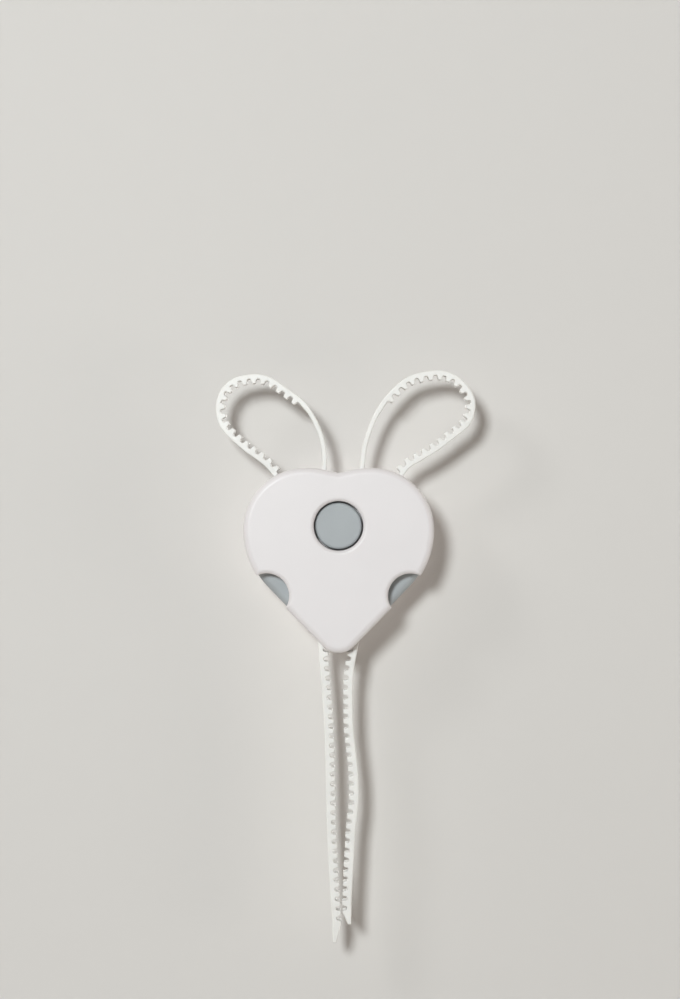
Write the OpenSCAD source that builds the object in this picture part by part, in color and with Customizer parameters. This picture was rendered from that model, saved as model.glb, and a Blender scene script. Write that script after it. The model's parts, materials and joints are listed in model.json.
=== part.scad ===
// Cabinet safety lock: a heart-shaped housing that holds two toothed straps.
// Each strap starts at a pin inside the housing, loops round a door handle, runs back through
// a ratchet and hangs below as a tail. The middle button unlocks the two side buttons,
// and the side buttons swing the ratchet pawls off the straps.
// Plans are drawn in the plane of the door, with heights above the door, then stood upright.
// Right-hand pieces are drawn, and left-hand ones are their mirror images.

/* [Housing outline] */
// Thickness of the whole housing
housing_t = 20; // [19.5:0.1:21]
// Distance of each lobe's centre from the centreline
lobe_x = 11.8; // [11.4:0.1:12.6]
// Distance of the lobe centres below the button's axis
lobe_drop = 1.4; // [1:0.1:1.8]
// Radius of each lobe
lobe_r = 21.8; // [21.6:0.1:23]
// Radius of the shallow crown between a lobe and the dip
crown_r = 38; // [34:1:46]
// Radius of the hollow in the dip
dip_r = 5; // [3:0.5:7]
// Distance from the centreline to the centre of each flank's arc
flank_x = 3.9; // [3.5:0.1:4.5]
// Distance of the tip's centre below the button's axis
tip_drop = 37.2; // [36.8:0.1:38.5]
// Radius of the rounded tip
tip_r = 7.5; // [7.2:0.1:8.2]

/* [Housing shells] */
// Thickness of the outer walls
wall_t = 2; // [1.7:0.1:2.1]
// Radius of the soft front edge
edge_r = 2.2; // [1.6:0.1:3]
// Bevel of the back edge
back_bevel = 0.8; // [0.4:0.1:1.2]
// Height of the parting line above the door
parting_h = 10; // [9.9:0.1:10.3]
// Bevel of each shell's edge at the parting line
seam_bevel = 0.25; // [0.1:0.05:0.4]
// Height of the locating lip at the parting line
lip_h = 1; // [0.6:0.1:1.4]

/* [Centre button] */
// Diameter of the button
button_d = 16.4; // [15.8:0.1:16.8]
// Diameter of the button's hole
button_hole_d = 17.4; // [17.2:0.1:17.8]
// Rounding of the hole's rim
button_rim_r = 1.4; // [0.8:0.1:1.8]
// Rounding of the button's edge
button_edge_r = 0.8; // [0.4:0.1:1.2]
// Depth of the button's face below the front
button_recess = 2; // [1.2:0.1:2.4]
// Travel of the button and of both side buttons
travel = 2.5; // [2.2:0.1:2.6]
// Diameter of the button's stem
stem_d = 5; // [4.6:0.1:5.2]
// Widest diameter of the locking cone
cone_d = 15; // [14.6:0.1:15.4]

/* [Side buttons] */
// Distance of each scallop's centre from the centreline
scallop_x = 25.3; // [25:0.1:25.8]
// Distance of each scallop's centre below the button's axis
scallop_drop = 24.6; // [24.4:0.1:24.9]
// Radius of the scallops in the front
scallop_r = 7.9; // [7.4:0.1:8]
// Rounding of the scallops' rim
scallop_rim_r = 1.5; // [1:0.1:1.8]
// Depth of the side buttons below the front
pad_recess = 7; // [6.6:0.1:7.3]
// Rounding of the side buttons' front edge
pad_edge_r = 2.2; // [1.4:0.1:2.6]

/* [Straps] */
// Width of the straps, front to back
strap_w = 6.5; // [6.2:0.1:6.6]
// Thickness of the strap's web
web_t = 1.7; // [1.5:0.05:1.8]
// Height of the teeth above the web
tooth_h = 1.7; // [1.5:0.05:1.8]
// Pitch of the teeth
pitch = 3.4; // [3.3:0.05:3.5]
// Length of the smooth stretch at each fixed end
smooth_l = 30; // [24:1:40]
// Length of the plain pointed tip
point_l = 5.5; // [4:0.5:7]
// Reach of the left loop from the centreline
left_reach = 41.8; // [41:0.2:44]
// Rise of the left loop above the button's axis
left_rise = 52; // [51:0.5:56]
// Length of the left tail below the housing
left_tail_l = 107.5; // [80:0.5:130]
// Reach of the right loop from the centreline
right_reach = 46.7; // [45.5:0.1:48.5]
// Rise of the right loop above the button's axis
right_rise = 53.3; // [52.3:0.5:57]
// Length of the right tail below the housing
right_tail_l = 101; // [80:0.5:130]

/* [Fasteners and springs] */
// Diameter of the anchor pins and pawl pins
pin_d = 2.4; // [2:0.1:2.6]
// Diameter of the screws' shafts
screw_d = 2.2; // [2:0.1:2.4]
// Diameter of the screws' heads
screw_head_d = 4.6; // [4:0.1:4.8]
// Height of the screws' heads
screw_head_t = 1.8; // [1.4:0.1:2]
// Diameter of the wire in the centre spring
centre_wire_d = 0.7; // [0.5:0.05:0.8]
// Diameter of the wire in the side springs and pawl springs
small_wire_d = 0.5; // [0.4:0.05:0.55]

/* [Hidden] */

shell_colour = [0.90, 0.88, 0.87];
grey_colour = [0.67, 0.69, 0.69];
strap_colour = [0.94, 0.93, 0.92];
steel_colour = [0.72, 0.73, 0.75];
resin_colour = [0.86, 0.86, 0.84];

// Clearances of loose moulded parts, of pieces that nearly touch and of pins, and the overrun of cuts
gap = 0.4;
close = 0.3;
snug = 0.05;
over = 1;

// Steps along each stretch of the outline and round a soft edge
dip_steps = 3;
crown_steps = 4;
lobe_steps = 18;
flank_steps = 10;
tip_steps = 8;
edge_steps = 6;
round_fn = 64;

// Heights above the door
front_h = housing_t;
ceiling_h = front_h - wall_t;
strap_below_share = 0.46;
strap_h = parting_h - strap_below_share * strap_w;
strap_top_h = strap_h + strap_w;
pad_top_h = front_h - pad_recess;
arm_h = strap_top_h + gap;
arm_t = 2.6;
arm_top_h = arm_h + arm_t;
plate_t = 2.2;
plate_h = wall_t + gap;
tongue_top_h = strap_h - gap;

// Button, its tube and the locking cone
tube_t = 1.3;
tube_r = button_hole_d / 2 + tube_t;
ledge_t = 1.4;
skirt_t = 1.6;
cap_t = 2;
cone_floor_gap = 0.9;
cone_h = wall_t + cone_floor_gap + travel;
cone_l = 3.9;
cone_top_h = cone_h + cone_l;
ledge_h = cone_top_h + close;
ledge_top_h = ledge_h + ledge_t;
button_top_h = front_h - button_recess;
skirt_h = ledge_top_h + travel + close;
cap_h = button_top_h - cap_t;
centre_coil_r = 4.6;
centre_turns = 4;

// The straight run of each strap inside the housing, from the top down
run_in = 4.5;
run_end_drop = 2.8;
run_top = [lobe_r - run_in, 8];
run_end = [5.8, -tip_drop - run_end_drop];
run_length = norm(run_end - run_top);
run_way = (run_end - run_top) / run_length;
run_inward = [run_way.y, -run_way.x];
run_points = 4;
function on_run(along, inward) = run_top + along * run_way + inward * run_inward;

// Ratchet pawl, placed along the run: its pivot, its teeth and its tab
pawl_boss_r = 2.3;
pawl_clear = 0.5;
pawl_along = 21.6;
pawl_in = tooth_h + pawl_clear + pawl_boss_r;
pawl_at = on_run(pawl_along, pawl_in);
bite_reach = 7.8;
bite_along = pawl_along + bite_reach;
bite_depth = 0.9;
bite_tip_w = 0.5;
bite_root_w = 0.9;
bite_count = 2;
pawl_end = bite_along + (bite_count - 0.5) * pitch;
pawl_back_in = 5.2;
pawl_chin = 1.1;
function pawl_back(along) = pawl_back_in + (pawl_in + pawl_boss_r - pawl_back_in)
    * (pawl_end - pawl_chin - along) / (pawl_end - pawl_chin - pawl_along);
pawl_t = strap_w - gap;
pawl_h = strap_h + snug;
tab_r = 1.1;
tab_in = 3.6;
tab_at = on_run(bite_along + pitch / 3, tab_in);
pin_boss_r = 2.1;
pin_end_gap = 1;

// Rear plate, arm and stop of each side button. The arm passes over the strap
bar_x = pawl_at.x + pin_boss_r + travel + gap;
bar_w = 4;
bar_top = 4;
stop_t = 1;
stop_w = 4.4;
stop_x = bar_x + stop_t;
stop_top_h = arm_h - over;
pad_x = stop_x + travel + close;
window_low_share = 0.6;
window_top = scallop_r - scallop_drop + gap;
window_low = -scallop_drop - window_low_share * scallop_r;
link_top = -17.5;
link_w = 3.2;
arm_w = 5;
arm_x = tab_at.x + tab_r + close;
arm_low = tab_at.y - arm_w / 2;
arm_high = tab_at.y + arm_w / 2;
tongue_t = 1.9;
side_spring_y = link_top - link_w - gap - stop_w / 2;
side_spring_h = 9;
side_coil_r = 1.5;
side_seat_l = 2.4;
side_turns = 4.5;

// Middle rib and pawl springs
rib_t = 1.6;
rib_top = -15.5;
rib_w = 10;
rib_top_h = ceiling_h - over;
pawl_spring_y = -19.9;
pawl_spring_h = parting_h;
pawl_coil_r = 1.5;
pawl_turns = 3;
pawl_seat_along = bite_along + pawl_coil_r + small_wire_d;
pawl_seat_x = on_run(pawl_seat_along, pawl_back(pawl_seat_along)).x - 2 * snug;

// Fixed ends of the straps
anchor_in = 7.3;
anchor_at = [7.5, lobe_r - anchor_in];
eye_r = 2.9;
eye_joint = (pin_d / 2 + eye_r) / 2;
anchor_boss_r = 2.3;

// Stretches of the straps' routes that pass through the walls
fixed_way_l = 8.7;
way_in_before = 4.8;
way_in_l = 13.6;
way_out_before = 6.8;
way_out_after = 10.2;

// Screws, each in a boss of both shells
side_screw_in = 7.6;
top_screw_in = 8;
tip_screw_rise = 1.7;
side_screw = [lobe_x + lobe_r - side_screw_in, 4];
screw_places = [side_screw, [-side_screw.x, side_screw.y], [0, lobe_r - top_screw_in],
    [0, tip_screw_rise - tip_drop]];
boss_r = 3.2;
front_boss_r = 2.6;
screw_sink = 2.1;
screw_tip_h = 14;
cross_w = 0.8;
cross_depth = 0.9;
cross_span_share = 0.7;

// Shape of the teeth, as shares of the pitch
tooth_root_share = 0.65;
tooth_top_share = 0.44;
point_outer_share = 0.8;
point_inner_share = 0.1;
probe = 0.4;
route_steps = 8;

// The loops, as shares of their reach and rise
left_loop_shares = [[0.141, 0.402], [0.153, 0.554], [0.201, 0.675], [0.278, 0.785], [0.349, 0.846],
    [0.443, 0.900], [0.586, 0.979], [0.706, 1.0], [0.856, 0.979], [0.931, 0.938], [0.981, 0.877],
    [1.0, 0.798], [0.981, 0.713], [0.933, 0.654], [0.871, 0.604], [0.778, 0.538], [0.677, 0.481],
    [0.584, 0.421], [0.488, 0.315]];
right_loop_shares = [[0.197, 0.392], [0.214, 0.520], [0.276, 0.685], [0.351, 0.799], [0.424, 0.878],
    [0.525, 0.953], [0.638, 0.987], [0.771, 1.0], [0.878, 0.968], [0.944, 0.914], [0.994, 0.844],
    [1.0, 0.779], [0.970, 0.696], [0.904, 0.642], [0.822, 0.587], [0.734, 0.527], [0.610, 0.460],
    [0.510, 0.405], [0.435, 0.311]];
// The tails, as shares of the exit's distance from the centreline and of the tail's length
left_tail_shares = [[0.88, 0.078], [0.76, 0.149], [0.62, 0.257], [0.52, 0.400], [0.48, 0.528],
    [0.41, 0.651], [0.31, 0.753], [0.21, 0.847], [0.10, 0.926], [0.12, 1.0]];
right_tail_shares = [[0.71, 0.083], [0.586, 0.147], [0.57, 0.217], [0.603, 0.312], [0.76, 0.396],
    [0.90, 0.480], [0.914, 0.569], [0.74, 0.663], [0.638, 0.762], [0.552, 0.856], [0.50, 0.931],
    [0.534, 1.0]];

// A smooth curve through points, and the same curve as tables of place against length
function curve_point(p, i, t) =
    let (a = p[max(i - 1, 0)], b = p[i], c = p[i + 1], d = p[min(i + 2, len(p) - 1)])
    (2 * b + (c - a) * t + (2 * a - 5 * b + 4 * c - d) * t * t
        + (3 * b - a - 3 * c + d) * t * t * t) / 2;
function curve(p) = concat(
    [for (i = [0 : len(p) - 2]) for (j = [0 : route_steps - 1]) curve_point(p, i, j / route_steps)],
    [p[len(p) - 1]]);
function lengths(c) =
    [for (i = 0, s = 0; i < len(c); s = s + norm(c[min(i + 1, len(c) - 1)] - c[i]), i = i + 1) s];
function tables(c) =
    let (s = lengths(c))
    [[for (i = [0 : len(c) - 1]) [s[i], c[i].x]], [for (i = [0 : len(c) - 1]) [s[i], c[i].y]],
        s[len(c) - 1], s];

// A strap's route: from the pin round the loop, down the run and along the tail
function route_points(reach, rise, loop_shares, tail_l, tail_shares) = concat(
    [anchor_at],
    [for (q = loop_shares) [q.x * reach, q.y * rise]],
    [for (k = [0 : run_points]) run_top + k / run_points * (run_end - run_top)],
    [for (q = tail_shares) [q.x * run_end.x, run_end.y - q.y * tail_l]]);
left_route = tables(curve(
    route_points(left_reach, left_rise, left_loop_shares, left_tail_l, left_tail_shares)));
right_route = tables(curve(
    route_points(right_reach, right_rise, right_loop_shares, right_tail_l, right_tail_shares)));
run_start_index = (len(left_loop_shares) + 1) * route_steps;
function run_start(route) = route[3][run_start_index];
function place(route, s) = [lookup(s, route[0]), lookup(s, route[1])];
function beside(route, s, inward) =
    let (a = place(route, s - probe), b = place(route, s + probe), way = (b - a) / norm(b - a))
    place(route, s) + inward * [way.y, -way.x];

// The toothed outline of a strap, and a plain band round part of its route
function tooth(route, s) = [
    beside(route, s + tooth_root_share * pitch / 2, 0),
    beside(route, s + tooth_top_share * pitch / 2, tooth_h),
    beside(route, s - tooth_top_share * pitch / 2, tooth_h),
    beside(route, s - tooth_root_share * pitch / 2, 0)];
function strap_outline(route) =
    let (total = route[2], plain = total - point_l, bite = run_start(route) + bite_along,
        first = ceil((smooth_l - bite) / pitch), last = floor((plain - bite) / pitch) - 1,
        end_tooth = tooth(route, bite + pitch * (last + 1.5)))
    concat(
        [for (s = [eye_joint : pitch / 2 : plain]) beside(route, s, -web_t)],
        [beside(route, total, -web_t * point_outer_share),
            beside(route, total, -web_t * point_inner_share), end_tooth[2], end_tooth[3]],
        [for (k = [last : -1 : first]) each tooth(route, bite + pitch * (k + 0.5))],
        [for (s = [smooth_l - pitch : -pitch / 2 : eye_joint]) beside(route, s, 0),
            beside(route, eye_joint, 0)]);
function band(route, from, to, spare) = concat(
    [for (s = [from : pitch / 2 : to]) beside(route, s, -web_t - spare)],
    [for (s = [to : -pitch / 2 : from]) beside(route, s, tooth_h + spare)]);

// The heart's outline, drawn in by an inset: dip, crown, lobe, flank and tip of the right half.
// The whole outline starts at the tip, from where every other point is in sight
function arc(centre, r, from, to, steps) =
    [for (i = [0 : steps]) let (a = from + (to - from) * i / steps) centre + r * [cos(a), sin(a)]];
crown_y = lobe_r - lobe_drop - crown_r;
dip_y = crown_y + sqrt(pow(crown_r + dip_r, 2) - lobe_x * lobe_x);
dip_angle = atan2(crown_y - dip_y, lobe_x);
flank_r = lobe_r + lobe_x - flank_x;
tip_way = [-flank_x, lobe_drop - tip_drop];
flank_angle = atan2(tip_way.y, tip_way.x) + acos((flank_r - tip_r) / norm(tip_way));
function half_heart(inset) = concat(
    arc([0, dip_y], dip_r + inset, -90, dip_angle, dip_steps),
    arc([lobe_x, crown_y], crown_r - inset, dip_angle + 180, 90, crown_steps),
    arc([lobe_x, -lobe_drop], lobe_r - inset, 90, 0, lobe_steps),
    arc([flank_x, -lobe_drop], flank_r - inset, 0, flank_angle, flank_steps),
    arc([0, -tip_drop], tip_r - inset, flank_angle, -90, tip_steps));
// Points that two arcs share are kept once
function once(p) = [for (i = [0 : len(p) - 1]) if (i == 0 || norm(p[i] - p[i - 1]) > snug / 2) p[i]];
function heart(inset) =
    let (right = once(half_heart(inset)), n = len(right))
    concat([for (i = [n - 1 : -1 : 1]) [-right[i].x, right[i].y]], [for (i = [0 : n - 2]) right[i]]);

// A solid through rings of points, each ring as long as the others
module loft(rings) {
    n = len(rings[0]);
    last = len(rings) - 1;
    polyhedron(
        points = [for (ring = rings) each ring],
        faces = concat(
            [[for (j = [n - 1 : -1 : 0]) j]],
            [[for (j = [0 : n - 1]) last * n + j]],
            [for (i = [0 : last - 1]) for (j = [0 : n - 1])
                [i * n + j, i * n + (j + 1) % n, (i + 1) * n + (j + 1) % n, (i + 1) * n + j]]));
}
function ring(inset, h) = [for (p = heart(inset)) [p.x, p.y, h]];
// A heart with a soft front edge, from one height to another, its foot bevelled or plain
module soft_heart(inset, from, to, r, foot = 0) {
    loft(concat(
        foot > 0 ? [ring(inset + foot, from)] : [],
        [ring(inset, from + foot)],
        [for (i = [0 : edge_steps]) let (a = 90 * i / edge_steps)
            ring(inset + r * (1 - cos(a)), to - r * (1 - sin(a)))]));
}
module heart_block(inset, from, to) {
    translate([0, 0, from]) linear_extrude(to - from) polygon(heart(inset));
}

// Round posts, holes and rims
module post(at, r, from, to) {
    translate([at.x, at.y, from]) cylinder(r = r, h = to - from, $fn = round_fn);
}
module rim_cut(at, r, rim_r) {
    translate([at.x, at.y, front_h - rim_r])
        rotate_extrude($fn = round_fn)
            difference() {
                square([r + rim_r, rim_r + over]);
                translate([r + rim_r, 0]) circle(r = rim_r, $fn = round_fn);
            }
}
// A block from one corner to the opposite one
module block(low, high) {
    translate(low) cube(high - low);
}
// A coil spring along the third axis, as one tube of six sides
module coil(r, wire_d, length, turns) {
    sides = 6;
    steps = round(8 * turns);
    polyhedron(
        points = [for (i = [0 : steps]) let (a = 360 * turns * i / steps) for (k = [0 : sides - 1])
            let (b = 360 * k / sides, out = r + wire_d / 2 * cos(b))
            [out * cos(a), out * sin(a),
                wire_d / 2 + (length - wire_d) * i / steps + wire_d / 2 * sin(b)]],
        faces = concat(
            [[for (k = [sides - 1 : -1 : 0]) k]],
            [[for (k = [0 : sides - 1]) steps * sides + k]],
            [for (i = [0 : steps - 1]) for (k = [0 : sides - 1])
                let (next = (k + 1) % sides, here = i * sides, ahead = here + sides)
                each [[here + k, here + next, ahead + next], [here + k, ahead + next, ahead + k]]]));
}

// The model stands upright, its back face against the door
module upright() {
    rotate([90, 0, 0]) children();
}
module left_hand() {
    mirror([1, 0, 0]) children();
}
module both_hands() {
    children();
    mirror([1, 0, 0]) children();
}

// Channels for the straps through the walls: the fixed end, the way in and the way out
module strap_channel(route) {
    way_in = run_start(route) - way_in_before;
    way_out = run_start(route) + run_length;
    translate([0, 0, strap_h - gap]) linear_extrude(strap_w + 2 * gap) {
        polygon(band(route, eye_r, eye_r + fixed_way_l, gap));
        polygon(band(route, way_in - way_in_l, way_in, gap));
        polygon(band(route, way_out - way_out_before, way_out + way_out_after, gap));
    }
}
module strap_channels() {
    strap_channel(right_route);
    left_hand() strap_channel(left_route);
}
// Windows in the flanks for the side buttons
module side_window() {
    block([stop_x, window_low, wall_t], [lobe_x + lobe_r, window_top, pad_top_h + gap]);
}

module front_shell() {
    color(shell_colour) upright() difference() {
        union() {
            difference() {
                soft_heart(0, parting_h, front_h, edge_r, seam_bevel);
                heart_block(wall_t, parting_h - over, ceiling_h);
            }
            difference() {
                heart_block(wall_t / 2 + snug, parting_h - lip_h, parting_h + over);
                heart_block(wall_t, parting_h - over - lip_h, parting_h + over + snug);
            }
            post([0, 0], tube_r, ledge_h, ceiling_h + snug);
            both_hands() {
                intersection() {
                    post([scallop_x, -scallop_drop], scallop_r + scallop_rim_r, pad_top_h + gap,
                        ceiling_h + snug);
                    heart_block(wall_t / 2, pad_top_h, ceiling_h + over);
                }
                post(anchor_at, anchor_boss_r, strap_top_h + snug, ceiling_h + snug);
                post(pawl_at, pin_boss_r, strap_top_h + snug, ceiling_h + snug);
            }
            for (at = screw_places) post(at, front_boss_r, parting_h, ceiling_h + snug);
        }
        post([0, 0], button_hole_d / 2, ledge_top_h, front_h + over);
        post([0, 0], stem_d / 2 + gap, ledge_h - over, front_h);
        rim_cut([0, 0], button_hole_d / 2, button_rim_r);
        both_hands() {
            post([scallop_x, -scallop_drop], scallop_r, pad_top_h - over, front_h + over);
            rim_cut([scallop_x, -scallop_drop], scallop_r, scallop_rim_r);
            block([pad_x - travel - gap, arm_low - gap, pad_top_h],
                [scallop_x, arm_high + gap, arm_top_h + gap]);
            side_window();
            post(anchor_at, pin_d / 2 + snug, strap_h, ceiling_h - pin_end_gap);
            post(pawl_at, pin_d / 2 + snug, strap_h, ceiling_h - pin_end_gap);
        }
        for (at = screw_places) post(at, screw_d / 2 + snug, parting_h - over, screw_tip_h + snug);
        strap_channels();
    }
}

module back_shell() {
    color(shell_colour) upright() difference() {
        union() {
            difference() {
                loft([ring(back_bevel, 0), ring(0, back_bevel), ring(0, parting_h - seam_bevel),
                    ring(seam_bevel, parting_h)]);
                heart_block(wall_t, wall_t, parting_h + over);
                heart_block(wall_t / 2, parting_h - lip_h - snug, parting_h + over);
            }
            both_hands() {
                post(anchor_at, anchor_boss_r, wall_t - snug, strap_h - snug);
                post(pawl_at, pin_boss_r, wall_t - snug, strap_h - close);
                block([stop_x - stop_t, side_spring_y - stop_w / 2, wall_t - snug],
                    [stop_x, side_spring_y + stop_w / 2, stop_top_h]);
            }
            block([-rib_t / 2, rib_top - rib_w, wall_t - snug], [rib_t / 2, rib_top, rib_top_h]);
            for (at = screw_places)
                intersection() {
                    post(at, boss_r, wall_t - snug, parting_h);
                    heart_block(wall_t + snug / 2, 0, parting_h);
                }
        }
        both_hands() {
            side_window();
            post(anchor_at, pin_d / 2 + snug, wall_t + pin_end_gap, parting_h);
            post(pawl_at, pin_d / 2 + snug, wall_t + pin_end_gap, parting_h);
        }
        for (at = screw_places) {
            post(at, screw_d / 2 + snug, 0, parting_h + over);
            post(at, screw_head_d / 2 + snug, -over, screw_sink + screw_head_t);
        }
        strap_channels();
    }
}

module centre_button() {
    r = button_d / 2;
    color(grey_colour) upright() rotate_extrude($fn = round_fn) polygon(concat(
        [[0, cone_h], [stem_d / 2, cone_h], [stem_d / 2, cap_h], [r - skirt_t, cap_h],
            [r - skirt_t, skirt_h], [r, skirt_h]],
        arc([r - button_edge_r, button_top_h - button_edge_r], button_edge_r, 0, 90, edge_steps),
        [[0, button_top_h]]));
}

module lock_collar() {
    color(resin_colour) upright() difference() {
        translate([0, 0, cone_h])
            cylinder(r1 = cone_d / 2, r2 = cone_d / 2 - cone_l, h = cone_l, $fn = round_fn);
        post([0, 0], stem_d / 2 + snug, cone_h - over, cone_top_h + over);
    }
}

module centre_spring() {
    color(steel_colour) upright() translate([0, 0, ledge_top_h + snug])
        coil(centre_coil_r, centre_wire_d, cap_h - ledge_top_h - 2 * snug, centre_turns);
}

// The tongue that meets the locking cone, sloped as the cone is
module tongue() {
    slope_x = cone_d / 2 + gap + cone_h;
    rotate([90, 0, 0]) linear_extrude(2 * bar_top, center = true) polygon([
        [slope_x - plate_h, plate_h], [bar_x + bar_w / 2, plate_h],
        [bar_x + bar_w / 2, plate_h + plate_t], [slope_x - plate_h - plate_t + tongue_t, plate_h + plate_t],
        [slope_x - tongue_top_h + tongue_t, tongue_top_h], [slope_x - tongue_top_h, tongue_top_h]]);
}
module side_button() {
    color(grey_colour) difference() {
        union() {
            intersection() {
                soft_heart(gap, plate_h, pad_top_h, pad_edge_r);
                block([pad_x, window_low + close, plate_h - over],
                    [lobe_x + lobe_r, window_top - close, front_h]);
            }
            block([bar_x, link_top - link_w, plate_h], [pad_x + over, link_top, plate_h + plate_t]);
            block([bar_x, link_top - link_w, plate_h], [bar_x + bar_w, bar_top, plate_h + plate_t]);
            difference() {
                union() {
                    block([arm_x, arm_low, arm_h], [scallop_x, arm_high, arm_top_h]);
                    block([pad_x, arm_low, pad_top_h - over], [scallop_x, arm_high, arm_top_h]);
                }
                post([scallop_x, -scallop_drop], scallop_r + snug, pad_top_h - 2 * over, front_h);
            }
            tongue();
        }
        translate([pad_x - over, side_spring_y, side_spring_h]) rotate([0, 90, 0])
            cylinder(r = side_coil_r + small_wire_d, h = side_seat_l + over, $fn = round_fn);
    }
}

module button_spring() {
    color(steel_colour) translate([stop_x + snug, side_spring_y, side_spring_h]) rotate([0, 90, 0])
        coil(side_coil_r, small_wire_d, pad_x + side_seat_l - stop_x - 2 * snug, side_turns);
}

// Draws a plan given as distances along the run and inward from it
module run_frame() {
    translate(run_top) rotate(atan2(run_way.y, run_way.x)) mirror([0, 1]) children();
}
module pawl() {
    face_in = tooth_h + pawl_clear;
    color(resin_colour) difference() {
        union() {
            translate([0, 0, pawl_h]) linear_extrude(pawl_t) run_frame() {
                translate([pawl_along, pawl_in]) circle(r = pawl_boss_r, $fn = round_fn);
                polygon([[pawl_along, face_in], [pawl_end, face_in], [pawl_end, face_in + pawl_chin],
                    [pawl_end - pawl_chin, pawl_back_in], [pawl_along, pawl_back(pawl_along)]]);
                for (k = [0 : bite_count - 1]) translate([bite_along + k * pitch, 0])
                    polygon([[-bite_root_w / 2, face_in + snug], [-bite_tip_w / 2, tooth_h - bite_depth],
                        [bite_tip_w / 2, tooth_h - bite_depth], [bite_root_w / 2, face_in + snug]]);
            }
            post(tab_at, tab_r, pawl_h, arm_top_h);
        }
        post(pawl_at, pin_d / 2 + snug, pawl_h - over, strap_top_h + over);
    }
}

module pawl_spring() {
    color(steel_colour) translate([rib_t / 2 + snug, pawl_spring_y, pawl_spring_h]) rotate([0, 90, 0])
        coil(pawl_coil_r, small_wire_d, pawl_seat_x - rib_t / 2 - snug, pawl_turns);
}

module pin(at) {
    color(steel_colour) post(at, pin_d / 2, wall_t + pin_end_gap, ceiling_h - pin_end_gap);
}

module strap(route) {
    color(strap_colour) difference() {
        union() {
            translate([0, 0, strap_h]) linear_extrude(strap_w) polygon(strap_outline(route));
            post(anchor_at, eye_r, strap_h, strap_top_h);
        }
        post(anchor_at, pin_d / 2 + snug, strap_h - over, strap_top_h + over);
    }
}

module screw(at) {
    head_h = screw_sink + screw_head_t;
    difference() {
        union() {
            post(at, screw_head_d / 2, screw_sink, head_h);
            post(at, screw_d / 2, head_h - snug, screw_tip_h);
        }
        for (turn = [0, 90]) translate([at.x, at.y, screw_sink]) rotate(turn)
            cube([cross_span_share * screw_head_d, cross_w, 2 * cross_depth], center = true);
    }
}
module shell_screws() {
    color(steel_colour) upright() for (at = screw_places) screw(at);
}

front_shell();
back_shell();
centre_button();
lock_collar();
centre_spring();
upright() left_hand() side_button();  // left_side_button
upright() side_button();  // right_side_button
upright() left_hand() button_spring();  // left_button_spring
upright() button_spring();  // right_button_spring
upright() left_hand() pawl();  // left_pawl
upright() pawl();  // right_pawl
upright() left_hand() pin(pawl_at);  // left_pawl_pin
upright() pin(pawl_at);  // right_pawl_pin
upright() left_hand() pawl_spring();  // left_pawl_spring
upright() pawl_spring();  // right_pawl_spring
upright() left_hand() strap(left_route);  // left_strap
upright() strap(right_route);  // right_strap
upright() left_hand() pin(anchor_at);  // left_anchor_pin
upright() pin(anchor_at);  // right_anchor_pin
shell_screws();
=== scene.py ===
import json
import math

import bpy
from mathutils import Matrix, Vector


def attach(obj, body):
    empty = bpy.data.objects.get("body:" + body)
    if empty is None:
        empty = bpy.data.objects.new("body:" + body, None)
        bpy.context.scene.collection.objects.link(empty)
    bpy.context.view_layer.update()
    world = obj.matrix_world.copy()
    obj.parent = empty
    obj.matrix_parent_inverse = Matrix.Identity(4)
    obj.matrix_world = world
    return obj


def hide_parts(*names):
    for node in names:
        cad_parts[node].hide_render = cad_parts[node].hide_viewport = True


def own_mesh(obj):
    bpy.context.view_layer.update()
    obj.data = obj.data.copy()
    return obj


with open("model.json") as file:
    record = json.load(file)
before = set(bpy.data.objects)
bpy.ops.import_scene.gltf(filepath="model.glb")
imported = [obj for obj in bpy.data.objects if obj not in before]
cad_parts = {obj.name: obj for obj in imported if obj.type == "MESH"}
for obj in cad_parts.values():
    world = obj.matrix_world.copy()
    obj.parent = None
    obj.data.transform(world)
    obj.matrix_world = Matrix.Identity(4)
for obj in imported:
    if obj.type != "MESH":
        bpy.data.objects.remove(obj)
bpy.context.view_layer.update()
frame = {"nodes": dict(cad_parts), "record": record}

nodes = frame["nodes"]

# Millimetres to metres
MM = 0.001

# The door that the lock hangs in front of, and the floor below it
DOOR_Y = 12 * MM
FLOOR_Z = -1.0
ROOM_WIDTH = 6.0
ROOM_HEIGHT = 3.0

# Colours as they look on the real pieces, red, green and blue from 0 to 255
SHELL_COLOUR = (222, 218, 218)
GREY_COLOUR = (160, 165, 167)
STRAP_COLOUR = (230, 229, 225)
RESIN_COLOUR = (226, 225, 218)
STEEL_COLOUR = (203, 204, 206)
DOOR_COLOUR = (216, 213, 209)

# Light of the room: its warm tint, and its strength from the walls all round and from ahead.
# The walls fade out where a direction points this share ahead
WARM_LIGHT = (1.0, 0.89, 0.81, 1.0)
WALL_STRENGTH = 1.3
FRONT_STRENGTH = 0.03
WALL_REACH = 0.5

# Colours of the lamps, and what they aim at
COOL_LAMP = (0.93, 0.98, 1.0)
WARM_LAMP = (1.0, 0.95, 0.88)
LAMPS_AIM = Vector((0, 0, 0.01))

# The camera: a long lens straight in front of the lock
CAMERA_AT = (0.0005, -0.92, 0.0093)
CAMERA_LENS = 92.4
CAMERA_SENSOR = 36
CAMERA_CLIP_START = 0.01

# Moulded edges: the straps' teeth are rounded, and curves shade smooth up to these angles
TOOTH_ROUNDING = 0.4 * MM
TOOTH_EDGE_ANGLE = math.radians(28)
STRAP_SMOOTH_ANGLE = math.radians(40)
SHELL_SMOOTH_ANGLE = math.radians(32)
WIRE_SMOOTH_ANGLE = math.radians(65)
SEAM_ANGLE = math.radians(0.4)
MERGE_DISTANCE = 0.001 * MM

# Depth of the spark-eroded grain on the shells and the buttons
SPARK_DEPTH = 0.012 * MM

# Which body carries each node
BODY_OF = {
    node: body
    for body, members in frame["record"]["behaviour"]["bodies"].items()
    for node in members
}


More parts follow.
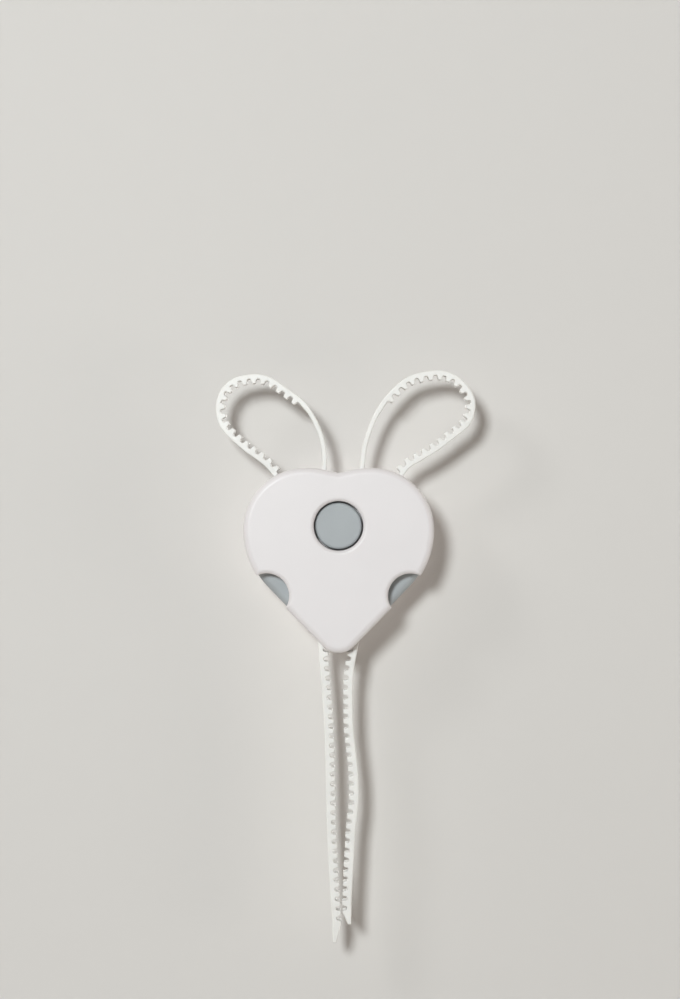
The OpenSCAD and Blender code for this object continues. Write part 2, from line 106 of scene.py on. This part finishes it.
def linear(colour):
    """A colour of 0 to 255 as the shader wants it, taken off the screen's brightness curve."""
    shares = [value / 255 for value in colour]
    return tuple(
        share / 12.92 if share <= 0.04045 else ((share + 0.055) / 1.055) ** 2.4
        for share in shares
    ) + (1.0,)


def shade(colour, by):
    """A written colour, lighter or darker by a share."""
    return tuple(min(1.0, channel * by) for channel in colour[:3]) + (1.0,)


def new_finish(name):
    """An empty material, its node tree and its surface shader."""
    finish = bpy.data.materials.new(name)
    finish.use_nodes = True
    tree = finish.node_tree
    return finish, tree, tree.nodes["Principled BSDF"]


def grain(tree, scale, detail, roughness=0.55, stretch=(1, 1, 1)):
    """A noise in the piece's own coordinates, drawn out by stretch."""
    place = tree.nodes.new("ShaderNodeTexCoord")
    mapping = tree.nodes.new("ShaderNodeMapping")
    mapping.inputs["Scale"].default_value = stretch
    noise = tree.nodes.new("ShaderNodeTexNoise")
    noise.inputs["Scale"].default_value = scale
    noise.inputs["Detail"].default_value = detail
    noise.inputs["Roughness"].default_value = roughness
    tree.links.new(place.outputs["Object"], mapping.inputs["Vector"])
    tree.links.new(mapping.outputs["Vector"], noise.inputs["Vector"])
    return noise.outputs["Fac"]


def span(tree, value, low, high, start=0.3, end=0.7):
    """A value spread between low and high."""
    node = tree.nodes.new("ShaderNodeMapRange")
    node.inputs["From Min"].default_value = start
    node.inputs["From Max"].default_value = end
    node.inputs["To Min"].default_value = low
    node.inputs["To Max"].default_value = high
    tree.links.new(value, node.inputs["Value"])
    return node.outputs["Result"]


def blend_colours(tree, share, first, second):
    """A colour between two, each a tuple or a socket."""
    mix = tree.nodes.new("ShaderNodeMix")
    mix.data_type = "RGBA"
    tree.links.new(share, mix.inputs["Factor"])
    for value, socket in ((first, mix.inputs[6]), (second, mix.inputs[7])):
        if isinstance(value, tuple):
            socket.default_value = value
        else:
            tree.links.new(value, socket)
    return mix.outputs[2]


def clouded(tree, base, scale, darkest, lightest):
    """A base colour in faint clouds, between two shares of it."""
    clouds = span(tree, grain(tree, scale, detail=3), low=0, high=1)
    return blend_colours(tree, clouds, shade(base, darkest), shade(base, lightest))


def edges_rubbed_and_highlit(tree, radius, start=0.02, end=0.25):
    """A mask of the piece's edges, where a painted highlight and rubbed wear go: how far a softened
    normal leans off the true one.
    """
    soft = tree.nodes.new("ShaderNodeBevel")
    soft.samples = 4
    soft.inputs["Radius"].default_value = radius
    true = tree.nodes.new("ShaderNodeNewGeometry")
    lean = tree.nodes.new("ShaderNodeVectorMath")
    lean.operation = "DOT_PRODUCT"
    tree.links.new(soft.outputs["Normal"], lean.inputs[0])
    tree.links.new(true.outputs["Normal"], lean.inputs[1])
    value = lean.outputs["Value"]
    return span(tree, value, low=1.0, high=0.0, start=1 - end, end=1 - start)


def relief(tree, height, depth, strength, normal=None):
    """A bump of that depth in metres, on top of another one where it is given."""
    bump = tree.nodes.new("ShaderNodeBump")
    bump.inputs["Strength"].default_value = strength
    bump.inputs["Distance"].default_value = depth
    tree.links.new(height, bump.inputs["Height"])
    if normal:
        tree.links.new(normal, bump.inputs["Normal"])
    return bump.outputs["Normal"]


def dress(tree, surface, colour, roughness, normal):
    """Feeds a surface its colour, its roughness and its relief."""
    for value, socket in ((colour, "Base Color"), (roughness, "Roughness"), (normal, "Normal")):
        tree.links.new(value, surface.inputs[socket])


def moulded_plastic(name, colour, roughness, edge_highlight, tint, spark_depth):
    """Satin moulded plastic: spark-eroded grain, faint flow clouds, and edges painted lighter as a
    painted highlight on their rounding, with rubbed wear.
    """
    finish, tree, surface = new_finish(name)
    base = linear(colour)
    body = clouded(tree, base, scale=55, darkest=1 - tint, lightest=1 + tint)
    edges = edges_rubbed_and_highlit(tree, radius=0.35 * MM)
    flow = relief(tree, grain(tree, scale=90, detail=1), depth=0.03 * MM, strength=0.1)
    sparks = grain(tree, scale=3200, detail=2)
    # The edges are painted lighter by a share: a painted highlight on their rounding, partly rubbed
    # wear
    dress(
        tree,
        surface,
        blend_colours(tree, edges, body, shade(base, edge_highlight)),
        span(tree, grain(tree, scale=240, detail=4), low=roughness - 0.04, high=roughness + 0.05),
        relief(tree, sparks, depth=spark_depth, strength=0.35, normal=flow),
    )
    surface.inputs["IOR"].default_value = 1.49
    return finish


def strap_plastic():
    """Soft white strap plastic that lets a little light through its thin web."""
    finish, tree, surface = new_finish("strap_soft_white")
    base = linear(STRAP_COLOUR)
    body = clouded(tree, base, scale=130, darkest=0.97, lightest=1.03)
    edges = edges_rubbed_and_highlit(tree, radius=0.25 * MM)
    flow = relief(tree, grain(tree, scale=260, detail=2), depth=0.03 * MM, strength=0.15)
    sparks = grain(tree, scale=3600, detail=2)
    # The edges are painted lighter by a share: a painted highlight on the teeth's rounding, partly
    # rubbed wear
    dress(
        tree,
        surface,
        blend_colours(tree, edges, body, shade(base, 1.04)),
        span(tree, grain(tree, scale=420, detail=3), low=0.36, high=0.48),
        relief(tree, sparks, depth=0.01 * MM, strength=0.3, normal=flow),
    )
    surface.inputs["Subsurface Weight"].default_value = 0.25
    surface.inputs["Subsurface Radius"].default_value = (1.0, 0.95, 0.9)
    surface.inputs["Subsurface Scale"].default_value = 0.8 * MM
    surface.inputs["IOR"].default_value = 1.5
    return finish


def bearing_resin():
    """Natural white slippery resin of the pawls and the locking cone."""
    finish, tree, surface = new_finish("bearing_resin")
    dress(
        tree,
        surface,
        clouded(tree, linear(RESIN_COLOUR), scale=150, darkest=0.95, lightest=1.02),
        span(tree, grain(tree, scale=500, detail=3), low=0.25, high=0.36),
        relief(tree, grain(tree, scale=2600, detail=2), depth=0.01 * MM, strength=0.3),
    )
    return finish


def plated_steel(name, stretch):
    """Zinc-plated steel with drawn lines along the stretch and faint cloudy patches."""
    finish, tree, surface = new_finish(name)
    lines = grain(tree, scale=900, detail=3, roughness=0.6, stretch=stretch)
    dress(
        tree,
        surface,
        clouded(tree, linear(STEEL_COLOUR), scale=700, darkest=0.85, lightest=1.05),
        span(tree, lines, low=0.22, high=0.4),
        relief(tree, lines, depth=0.008 * MM, strength=0.35),
    )
    surface.inputs["Metallic"].default_value = 1.0
    return finish


def wear_finish(piece, finish):
    """Gives a piece one finish, in its only slot."""
    piece.data.materials.clear()
    piece.data.materials.append(finish)
    for face in piece.data.polygons:
        face.material_index = 0


def round_edges(piece, width, angle):
    """Rounds the edges of a moulding that turn by more than the angle."""
    rounding = piece.modifiers.new("edge_rounding", "BEVEL")
    rounding.width = width
    rounding.segments = 3
    rounding.limit_method = "ANGLE"
    rounding.angle_limit = angle
    rounding.use_clamp_overlap = False
    rounding.miter_outer = "MITER_ARC"
    bpy.ops.object.modifier_apply(modifier=rounding.name)


def shade_curves(piece, angle):
    """Shades curves smooth and keeps flat faces flat."""
    if piece.data.has_custom_normals:
        bpy.ops.mesh.customdata_custom_splitnormals_clear()
    bpy.ops.object.shade_smooth_by_angle(angle=angle)
    flat = piece.modifiers.new("flat_faces", "WEIGHTED_NORMAL")
    flat.keep_sharp = True
    bpy.ops.object.modifier_apply(modifier=flat.name)


def finished_moulding(node, finish, smooth_angle, rounding=0):
    """The moulding of a node: its seams merged, its edges rounded and its curves smooth."""
    bpy.ops.object.select_all(action="DESELECT")
    piece = bpy.data.objects.new(node + "_moulding", nodes[node].data.copy())
    bpy.context.scene.collection.objects.link(piece)
    bpy.context.view_layer.objects.active = piece
    piece.select_set(True)
    bpy.ops.object.mode_set(mode="EDIT")
    bpy.ops.mesh.select_all(action="SELECT")
    bpy.ops.mesh.remove_doubles(threshold=MERGE_DISTANCE)
    bpy.ops.mesh.dissolve_limited(angle_limit=SEAM_ANGLE)
    bpy.ops.mesh.normals_make_consistent(inside=False)
    bpy.ops.object.mode_set(mode="OBJECT")
    if rounding:
        round_edges(piece, rounding, TOOTH_EDGE_ANGLE)
    shade_curves(piece, smooth_angle)
    wear_finish(piece, finish)
    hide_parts(node)
    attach(piece, BODY_OF[node])
    return piece


def housing(white):
    """Both shells of the heart-shaped housing."""
    for node in ("front_shell", "back_shell"):
        finished_moulding(node, white, SHELL_SMOOTH_ANGLE)


def buttons(grey):
    """The middle button and the two side buttons."""
    finished_moulding("centre_button", grey, SHELL_SMOOTH_ANGLE)
    for node in ("left_side_button", "right_side_button"):
        finished_moulding(node, grey, SHELL_SMOOTH_ANGLE)


def straps(white):
    """Both toothed straps, with their teeth rounded."""
    for node in ("left_strap", "right_strap"):
        finished_moulding(node, white, STRAP_SMOOTH_ANGLE, TOOTH_ROUNDING)


def ratchet_and_pins(resin, steel):
    """The pawls, the locking cone, the pins and the screws keep their own solids."""
    for node in ("lock_collar", "left_pawl", "right_pawl"):
        wear_finish(nodes[node], resin)
    for node in ("left_pawl_pin", "right_pawl_pin", "left_anchor_pin", "right_anchor_pin"):
        wear_finish(nodes[node], steel)
    wear_finish(nodes["shell_screws"], steel)


def coil_spring(node, wire):
    """A spring's coil, finished as a moulding with a mesh of its own."""
    coil = finished_moulding(node, wire, WIRE_SMOOTH_ANGLE)
    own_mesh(coil)


def springs(wire):
    """The middle button's spring, and each side's button spring and pawl spring."""
    coil_spring("centre_spring", wire)
    for side, fixed_end in (("left", "high"), ("right", "low")):
        coil_spring(side + "_button_spring", wire)
        coil_spring(
            side + "_pawl_spring", wire
        )


def choose(tree, share, first, second, output):
    """Shows the first shader, and the second one where the share is one."""
    choice = tree.nodes.new("ShaderNodeMixShader")
    tree.links.new(share, choice.inputs["Fac"])
    tree.links.new(first, choice.inputs[1])
    tree.links.new(second, choice.inputs[2])
    tree.links.new(choice.outputs["Shader"], tree.nodes[output].inputs["Surface"])


def seen_directly(tree):
    """One where the camera sees this itself, in a gloss or through a clear piece too."""
    path = tree.nodes.new("ShaderNodeLightPath")
    seen = path.outputs["Is Camera Ray"]
    for ray in ("Is Glossy Ray", "Is Transmission Ray"):
        either = tree.nodes.new("ShaderNodeMath")
        either.operation = "MAXIMUM"
        tree.links.new(seen, either.inputs[0])
        tree.links.new(path.outputs[ray], either.inputs[1])
        seen = either.outputs[0]
    return seen


def paint(name):
    """Plain pale eggshell paint."""
    finish, tree, surface = new_finish(name)
    clouds = clouded(tree, linear(DOOR_COLOUR), scale=6, darkest=0.985, lightest=1.015)
    tree.links.new(clouds, surface.inputs["Base Color"])
    surface.inputs["Roughness"].default_value = 0.8
    surface.inputs["Specular IOR Level"].default_value = 0.1
    return finish, tree, surface


def door_paint():
    """The door's paint, seen only from its front."""
    finish, tree, surface = paint("door_eggshell")
    clear = tree.nodes.new("ShaderNodeBsdfTransparent")
    side = tree.nodes.new("ShaderNodeNewGeometry")
    backfacing = side.outputs["Backfacing"]
    choose(tree, backfacing, surface.outputs["BSDF"], clear.outputs["BSDF"], "Material Output")
    return finish


def floor_paint():
    """The floor's paint, which meets the pale backdrop without a line."""
    finish, tree, surface = paint("floor_eggshell")
    pale = tree.nodes.new("ShaderNodeEmission")
    pale.inputs["Color"].default_value = linear(DOOR_COLOUR)
    seen = seen_directly(tree)
    choose(tree, seen, surface.outputs["BSDF"], pale.outputs["Emission"], "Material Output")
    return finish


def plain_sheet(name, centre, width, height, turn, finish):
    """One flat sheet of the room."""
    bpy.ops.object.select_all(action="DESELECT")
    bpy.ops.mesh.primitive_plane_add(size=1, location=centre, rotation=turn)
    sheet = bpy.context.object
    sheet.name = name
    sheet.scale = (width, height, 1)
    sheet.data.materials.append(finish)
    return sheet


def room():
    """The door behind the lock, which hides nothing from behind, and the floor."""
    upright = (math.pi / 2, 0, 0)
    door_middle = (0, DOOR_Y, FLOOR_Z + ROOM_HEIGHT / 2)
    door = plain_sheet("door_face", door_middle, ROOM_WIDTH, ROOM_HEIGHT, upright, door_paint())
    door.visible_shadow = False
    plain_sheet("floor", (0, 0, FLOOR_Z), ROOM_WIDTH, ROOM_WIDTH, (0, 0, 0), floor_paint())


def soft_lamp(name, at, size, power, colour=(1, 1, 1)):
    """A round soft lamp aimed at the middle of the housing."""
    data = bpy.data.lights.new(name, "AREA")
    data.shape = "DISK"
    data.size = size
    data.energy = power
    data.color = colour
    lamp = bpy.data.objects.new(name, data)
    bpy.context.scene.collection.objects.link(lamp)
    lamp.location = at
    lamp.rotation_euler = (lamp.location - LAMPS_AIM).to_track_quat("Z", "Y").to_euler()


def lamps():
    """A main lamp from the upper left, one lamp for the edges on each side, and two behind."""
    soft_lamp("main_lamp", (-0.31, -1.5, 0.34), size=0.26, power=16.8, colour=COOL_LAMP)
    soft_lamp("left_edge_lamp", (-0.85, -0.8, 0.75), size=0.35, power=2.4)
    soft_lamp("right_edge_lamp", (1.0, -0.45, -0.2), size=0.35, power=1.1, colour=WARM_LAMP)
    soft_lamp("rear_lamp_left", (-0.4, 1.5, 0.4), size=0.5, power=5.0)
    soft_lamp("rear_lamp_right", (0.4, 1.5, 0.2), size=0.5, power=5.0)


def room_light():
    """Warm light, brightest from the walls all round, and a pale backdrop for camera and gloss."""
    world = bpy.data.worlds.new("room_light")
    bpy.context.scene.world = world
    world.use_nodes = True
    tree = world.node_tree
    place = tree.nodes.new("ShaderNodeTexCoord")
    parts = tree.nodes.new("ShaderNodeSeparateXYZ")
    ahead = tree.nodes.new("ShaderNodeMath")
    ahead.operation = "ABSOLUTE"
    tree.links.new(place.outputs["Generated"], parts.inputs["Vector"])
    tree.links.new(parts.outputs["Y"], ahead.inputs[0])
    warm = tree.nodes["Background"]
    warm.inputs["Color"].default_value = WARM_LIGHT
    share_ahead = ahead.outputs["Value"]
    strength = span(tree, share_ahead, WALL_STRENGTH, FRONT_STRENGTH, start=0, end=WALL_REACH)
    tree.links.new(strength, warm.inputs["Strength"])
    pale = tree.nodes.new("ShaderNodeBackground")
    pale.inputs["Color"].default_value = linear(DOOR_COLOUR)
    pale.inputs["Strength"].default_value = 1.0
    seen = seen_directly(tree)
    choose(tree, seen, warm.outputs["Background"], pale.outputs["Background"], "World Output")


def front_camera():
    """The camera at the photograph's viewing angle."""
    lens = bpy.data.cameras.new("front_camera")
    lens.sensor_width = CAMERA_SENSOR
    lens.lens = CAMERA_LENS
    lens.clip_start = CAMERA_CLIP_START
    camera = bpy.data.objects.new("front_camera", lens)
    bpy.context.scene.collection.objects.link(camera)
    camera.location = CAMERA_AT
    camera.rotation_euler = (math.pi / 2, 0, 0)
    bpy.context.scene.camera = camera


# Each edge share paints the edges lighter: a painted highlight on the rounding, partly rubbed wear
housing(
    moulded_plastic(
        "shell_satin_white", SHELL_COLOUR, 0.38, edge_highlight=1.05, tint=0.01, spark_depth=SPARK_DEPTH
    )
)
buttons(
    moulded_plastic(
        "button_satin_grey", GREY_COLOUR, 0.42, edge_highlight=1.14, tint=0.03, spark_depth=SPARK_DEPTH
    )
)
straps(strap_plastic())
ratchet_and_pins(bearing_resin(), plated_steel("pin_plated_steel", (1, 0.05, 1)))
springs(plated_steel("spring_wire_steel", (1, 1, 1)))
room()
lamps()
room_light()
front_camera()
bpy.context.scene.view_settings.view_transform = "Standard"
